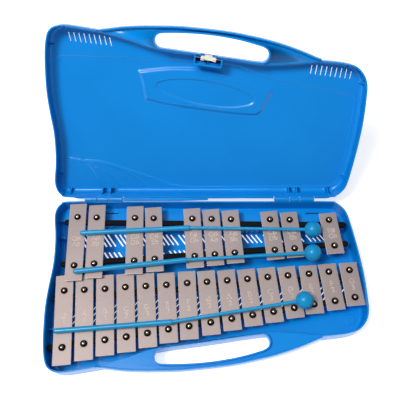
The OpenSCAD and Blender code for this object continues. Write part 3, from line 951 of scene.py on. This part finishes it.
latch_box(-9.5, 9.5, 1.55, 5.8, RZ + 1, RZ + 16, 0.6)
latch_box(-4.8, 4.8, 0.65, 2.0, RZ + 3.05, RZ + 11.95, 0.45)
for x in (-7.5, 7.5):
    latch_box(x - 2, x + 2, 2.75, 5.25, BASE_H - 4.85, BASE_H + 2.1, 0.3)
    latch_box(x - 2, x + 2, 1.85, 4.7, BASE_H - 4.85, BASE_H - 3.65, 0.3)
finish_piece(b.make("latch_bar", M_LATCH), "latch", "latch_plastic", "latch_slider")

b = Build(opened)
x0, y0 = at_latch(-16.9, 3.7)
v, f = lathe(rod_profile(1.0, 33.8, 0.3), (0, 0, 0), seg=28)
b.add([(x0 + LC * c - LS * bb, y0 + LS * c + LC * bb, RZ + 6 + a) for a, bb, c in v], f)
finish_piece(b.make("latch_wire", M_ROD), "lid", "rod_steel", "latch_rod")

# ================================================================ hinge pins
for n, hg in zip(("left", "right"), HINGES):
    b = Build()
    v, f = lathe(rod_profile(1.5, hg[3] - hg[0] - 3.2, 0.35), (0, 0, 0), seg=28)
    b.add([(hg[0] + 1.6 + c, HY - bb, HZ + a) for a, bb, c in v], f)
    finish_piece(b.make("hinge_wire_" + n, M_ROD), "case_base", "rod_steel", "hinge_pin_" + n)

# ================================================================ rails
for n, (p, q, top) in RAILS.items():
    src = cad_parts[n]
    bm = bmesh.new()
    bm.from_mesh(src.data)
    bmesh.ops.remove_doubles(bm, verts=bm.verts, dist=2e-6)
    bmesh.ops.dissolve_limit(bm, angle_limit=math.radians(2), verts=bm.verts, edges=bm.edges)
    es = [e for e in bm.edges if len(e.link_faces) == 2 and e.calc_face_angle(0) > math.radians(60)]
    bmesh.ops.bevel(bm, geom=es, offset=0.0006, segments=3, affect="EDGES", profile=0.5, clamp_overlap=True)
    me = bpy.data.meshes.new("pad_" + n)
    bm.to_mesh(me)
    bm.free()
    for pl in me.polygons:
        pl.use_smooth = True
    me.set_sharp_from_angle(angle=math.radians(38))
    me.materials.clear()
    me.materials.append(M_RAIL)
    o = bpy.data.objects.new("pad_" + n, me)
    bpy.context.scene.collection.objects.link(o)
    o.modifiers.new("weighted", "WEIGHTED_NORMAL").keep_sharp = True
    finish_piece(o, "case_base", "rail_rubber", n)


# ================================================================ bars
def text_tool(lines, size, at, turn, z_top, depth):
    """tubes that run along the letters' outlines, half sunk in the plate"""
    cu = bpy.data.curves.new("note", "FONT")
    cu.body = lines
    cu.size = size
    cu.align_x = "CENTER"
    cu.align_y = "CENTER"
    cu.space_line = 0.88
    cu.fill_mode = "NONE"
    cu.bevel_depth = depth
    cu.bevel_resolution = 1
    cu.resolution_u = 3
    o = bpy.data.objects.new("note", cu)
    bpy.context.scene.collection.objects.link(o)
    o.matrix_world = Matrix.Translation(Vector((at[0], at[1], z_top + 0.04)) * MM) @ Matrix.Rotation(math.radians(turn), 4, "Z") @ Matrix.Scale(MM, 4)
    bpy.context.view_layer.update()
    dg = bpy.context.evaluated_depsgraph_get()
    me = bpy.data.meshes.new_from_object(o.evaluated_get(dg))
    me.transform(o.matrix_world)
    bpy.data.objects.remove(o)
    t = bpy.data.objects.new("tool", me)
    bpy.context.scene.collection.objects.link(t)
    return t


def bar(name, label, pos, turn, l, top):
    a = math.radians(turn)
    c, s = math.cos(a), math.sin(a)

    def at(x, y):
        return (pos[0] + c * x - s * y, pos[1] + s * x + c * y)

    w, h = BAR_W / 2, l / 2
    out = [at(x, y) for x, y in rounded([(-w, -h), (w, -h), (w, h), (-w, h)], 0.7, 3)]
    loops = [out]
    for sgn in (-1, 1):
        cx, cy = at(0, sgn * l * PIN_AT)
        loops.append(circle(cx, cy, 2.5, 28))
    b = Build()
    b.add(*plate(loops, top - BAR_T, top, 0.38, 2))
    o = b.make("plate_" + name, M_BAR)
    t = text_tool(label, 9.4, at(0.3, -1.0), turn + 3, top, 0.36)
    carve(o, t)
    bpy.data.objects.remove(t)
    finish_piece(o, "case_base", "bar_steel", "bar_" + name)


FLAT = {"G": "A", "A": "B", "C": "D", "D": "E", "F": "G"}
for i, n in enumerate(NAT):
    bar(n, n[0] + "\n" + n[1], nat_pos(i), NAT_TURN[i], nat_len(i), NAT_TOP)
for i, n in enumerate(SHP):
    bar(n, n[0] + "#\n" + FLAT[n[0]] + "b", shp_pos(i), SHP_TURN[i], shp_len(i), SHP_TOP)

# ================================================================ pins and grommets
for nm, P, top in (("natural", NAT_PINS, NAT_TOP), ("sharp", SHP_PINS, SHP_TOP)):
    b = Build()
    g = Build()
    for x, y in P:
        prof = [(0, 5.2), (0.7, 5.2), (1.1, 5.7), (1.1, top + 2.22), (2.2, top + 2.22), (2.36, top + 2.36)]
        R, cz = 3.0, top + 0.9
        for k in range(9):
            a = math.radians(37.6 + 52.4 * k / 8)
            prof.append((R * math.cos(a), cz + R * math.sin(a)))
        prof[-1] = (0, cz + R)
        b.add(*lathe(prof, (x, y, 0), seg=36))
        pr = [(1.15, -BAR_T), (2.2, -BAR_T), (2.3, -BAR_T + 0.1), (2.3, 0.02), (3.95, 0.02), (4.15, 0.15), (4.3, 0.45), (4.3, 1.3), (4.2, 1.7),
              (3.95, 2.02), (3.6, 2.18), (3.2, 2.18), (2.9, 2.02), (2.7, 1.78), (2.3, 2.18), (1.6, 2.2), (1.15, 2.0)]
        g.add(*lathe_ring(pr, (x, y, top), 36))
    finish_piece(b.make("pin_heads_" + nm, M_PIN, angle=50), "case_base", "pin_nickel", nm + "_pins")
    finish_piece(g.make("washers_" + nm, M_GROM, angle=50), "case_base", "grommet_rubber", nm + "_grommets")

# ================================================================ mallets
for n, (p0, p1, p2) in MALLETS.items():
    p0, p1, p2 = Vector(p0), Vector(p1), Vector(p2)
    g, d = (p1 - p0).normalized(), (p2 - p1).normalized()
    b = Build()
    L = (p1 - p0).length
    r = 3.4
    prof = [(0, -3.75)]
    for k in range(1, 9):
        a = math.radians(90 * k / 8)
        prof.append((r * math.sin(a) ** 0.8 * 0.985, 0.0 - 3.7 * math.cos(a)))
    prof += [(3.38, 6), (3.3, 40), (3.25, L * 0.6), (3.32, L - 12), (3.4, L - 2.5), (3.38, L - 0.6), (3.2, L + 0.3), (2.8, L + 0.85), (1.8, L + 1.0), (0, L + 1.0)]
    b.add(*lathe(prof, p0, g, 40))
    L2 = (p2 - p1).length
    b.add(*lathe([(0, -1), (2.0, -1), (2.25, 0), (2.25, 8), (2.15, L2 * 0.5), (2.2, L2 - 20), (2.25, L2 - 10), (2.25, L2 - 3.3), (2.0, L2 - 3.05), (0, L2 - 3.05)], p1, d, 36))
    finish_piece(b.make("stick_" + n, M_MALLET, angle=50), "mallet_" + n, "mallet_plastic", f"mallet_{n}_stick")
    b = Build()
    prof = []
    R = 10.98
    for k in range(41):
        a = -math.pi / 2 + math.pi * k / 40
        rr = R * math.cos(a)
        if k in (20,):
            rr += 0.0
        if rr < 2.9 and a < 0:
            continue
        prof.append((rr, R * math.sin(a)))
    # neck where the stick goes in
    prof = [(2.25, -3.2), (2.25, -10.9), (2.5, -10.95), (2.75, -10.8)] + prof[0:]
    prof[-1] = (0, R)
    v, f = lathe(prof, p2, d, 56)
    b.add(v, f)
    b.add(*lathe([(0, -3.2), (2.25, -3.2)], p2, d, 56))
    finish_piece(b.make("ball_" + n, M_BALL, angle=60), "mallet_" + n, "mallet_head_plastic", f"mallet_{n}_head")

# ================================================================ floor, light and camera
me = bpy.data.meshes.new("floor")
s = 3.0
me.from_pydata([(-s, -s, 0), (s, -s, 0), (s, s, 0), (-s, s, 0)], [], [(0, 1, 2, 3)])
floor = bpy.data.objects.new("floor", me)
bpy.context.scene.collection.objects.link(floor)
mf = bpy.data.materials.new("floor")
mf.use_nodes = True
bf = mf.node_tree.nodes["Principled BSDF"]
bf.inputs["Base Color"].default_value = (0.8, 0.8, 0.8, 1)
bf.inputs["Emission Color"].default_value = (1, 1, 1, 1)
bf.inputs["Emission Strength"].default_value = 0.62
bf.inputs["Roughness"].default_value = 0.9
bf.inputs["Specular IOR Level"].default_value = 0.1
me.materials.append(mf)


def area_light(name, at, to, size, power, colour=(1, 1, 1)):
    li = bpy.data.lights.new(name, "AREA")
    li.shape = "RECTANGLE"
    li.size, li.size_y = size
    li.energy = power
    li.color = colour
    o = bpy.data.objects.new(name, li)
    bpy.context.scene.collection.objects.link(o)
    o.location = at
    o.rotation_euler = (Vector(to) - Vector(at)).to_track_quat("-Z", "Y").to_euler()
    return o


area_light("key", (-1.6, -0.75, 3.5), (0, 0.05, 0.05), (1.0, 1.0), 124, (1.0, 0.965, 0.93))
area_light("top", (-0.15, -0.06, 1.6), (0, 0.16, 0.05), (0.9, 0.14), 5)
area_light("back", (-0.3, 1.2, 1.5), (0, 0.05, 0.05), (1.6, 0.8), 1.2)
w = bpy.data.worlds.new("studio")
bpy.context.scene.world = w
w.use_nodes = True
w.node_tree.nodes["Background"].inputs["Color"].default_value = (1, 1, 1, 1)
w.node_tree.nodes["Background"].inputs["Strength"].default_value = 0.24

cam = bpy.data.cameras.new("camera")
cam.sensor_width = 36
cam.lens = 48.55
co = bpy.data.objects.new("camera", cam)
bpy.context.scene.collection.objects.link(co)
right = Vector((0.99950821, 0.01440409, -0.02785412))
down = Vector((-0.00046759, -0.88131469, -0.47252957))
fwd = Vector((-0.0313546, 0.47231021, -0.88087454))
rot = Matrix((right, -down, -fwd)).transposed()
co.matrix_world = Matrix.Translation((0.01733, -0.23484, 0.68526)) @ rot.to_4x4()
bpy.context.scene.camera = co
bpy.context.scene.view_settings.view_transform = "Standard"
